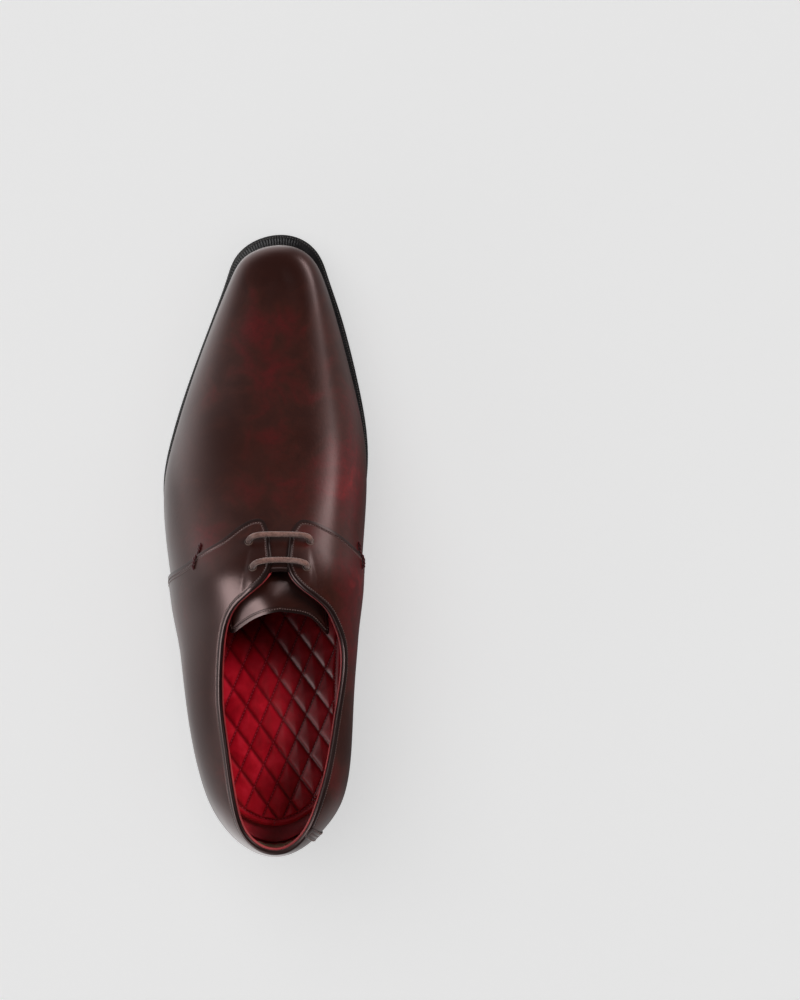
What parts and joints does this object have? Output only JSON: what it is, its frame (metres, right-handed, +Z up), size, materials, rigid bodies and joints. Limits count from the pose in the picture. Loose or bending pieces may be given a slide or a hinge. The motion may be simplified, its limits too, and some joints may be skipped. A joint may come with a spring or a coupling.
{
  "type": "leather oxford shoe",
  "caption": "Left lace-up dress shoe with open lacing over a tongue, chiselled toe, welted sole, stacked heel and quilted sock.",
  "frame": {"origin": "on the ground, under the middle of the shoe's length and width", "axes": "+Y from heel to toe, +X to the medial (big toe) side, +Z up"},
  "size_m": [0.1013, 0.301, 0.0905],
  "materials": {
    "burgundy_leather": "hand-burnished and polished",
    "red_lining_leather": "smooth",
    "quilted_red_leather": "quilted and polished",
    "black_sole_leather": "black edge ink",
    "tan_insole_leather": "unfinished",
    "cork": "granulated cork",
    "black_rubber": "matte",
    "shank_steel": "plain",
    "eyelet_brass": "plain",
    "stiffener_board": "stiffened",
    "sock_foam": "open-cell foam",
    "waxed_cotton": "waxed woven cord",
    "waxed_thread": "waxed",
    "aglet_plastic": "moulded"
  },
  "bodies": {
    "shoe": {"outsole": "black_sole_leather", "welt": "black_sole_leather", "heel_rand": "black_sole_leather", "cork_filler": "cork", "steel_shank": "shank_steel", "insole": "tan_insole_leather", "sock_foam": "sock_foam", "quilted_sock": "quilted_red_leather", "heel_lift_1": "black_sole_leather", "heel_lift_2": "black_sole_leather", "heel_lift_3": "black_sole_leather", "heel_top_leather": "black_sole_leather", "heel_top_rubber": "black_rubber", "vamp": "burgundy_leather", "vamp_lining": "red_lining_leather", "toe_puff": "stiffener_board", "quarter_lateral": "burgundy_leather", "quarter_medial": "burgundy_leather", "back_strip": "burgundy_leather", "heel_counter": "stiffener_board", "quarter_lining_lateral": "red_lining_leather", "quarter_lining_medial": "red_lining_leather", "counter_lining": "red_lining_leather", "facing_stay_lateral": "stiffener_board", "facing_stay_medial": "stiffener_board", "eyelet_lateral_1": "eyelet_brass", "eyelet_lateral_2": "eyelet_brass", "eyelet_medial_1": "eyelet_brass", "eyelet_medial_2": "eyelet_brass", "lace": "waxed_cotton", "aglet_1": "aglet_plastic", "aglet_2": "aglet_plastic", "bar_tack_lateral": "waxed_thread", "bar_tack_medial": "waxed_thread"},
    "tongue": {"tongue": "burgundy_leather", "tongue_lining": "red_lining_leather"}
  },
  "joints": [
    {"name": "tongue_hinge", "type": "hinge", "parent": "shoe", "child": "tongue", "pos_m": [0.0074, 0.0031, 0.0655], "axis": [1, 0, 0], "range_deg": [0, 14], "stiffness_Nm_per_rad": 0.03, "springref_deg": -3.44}
  ]
}
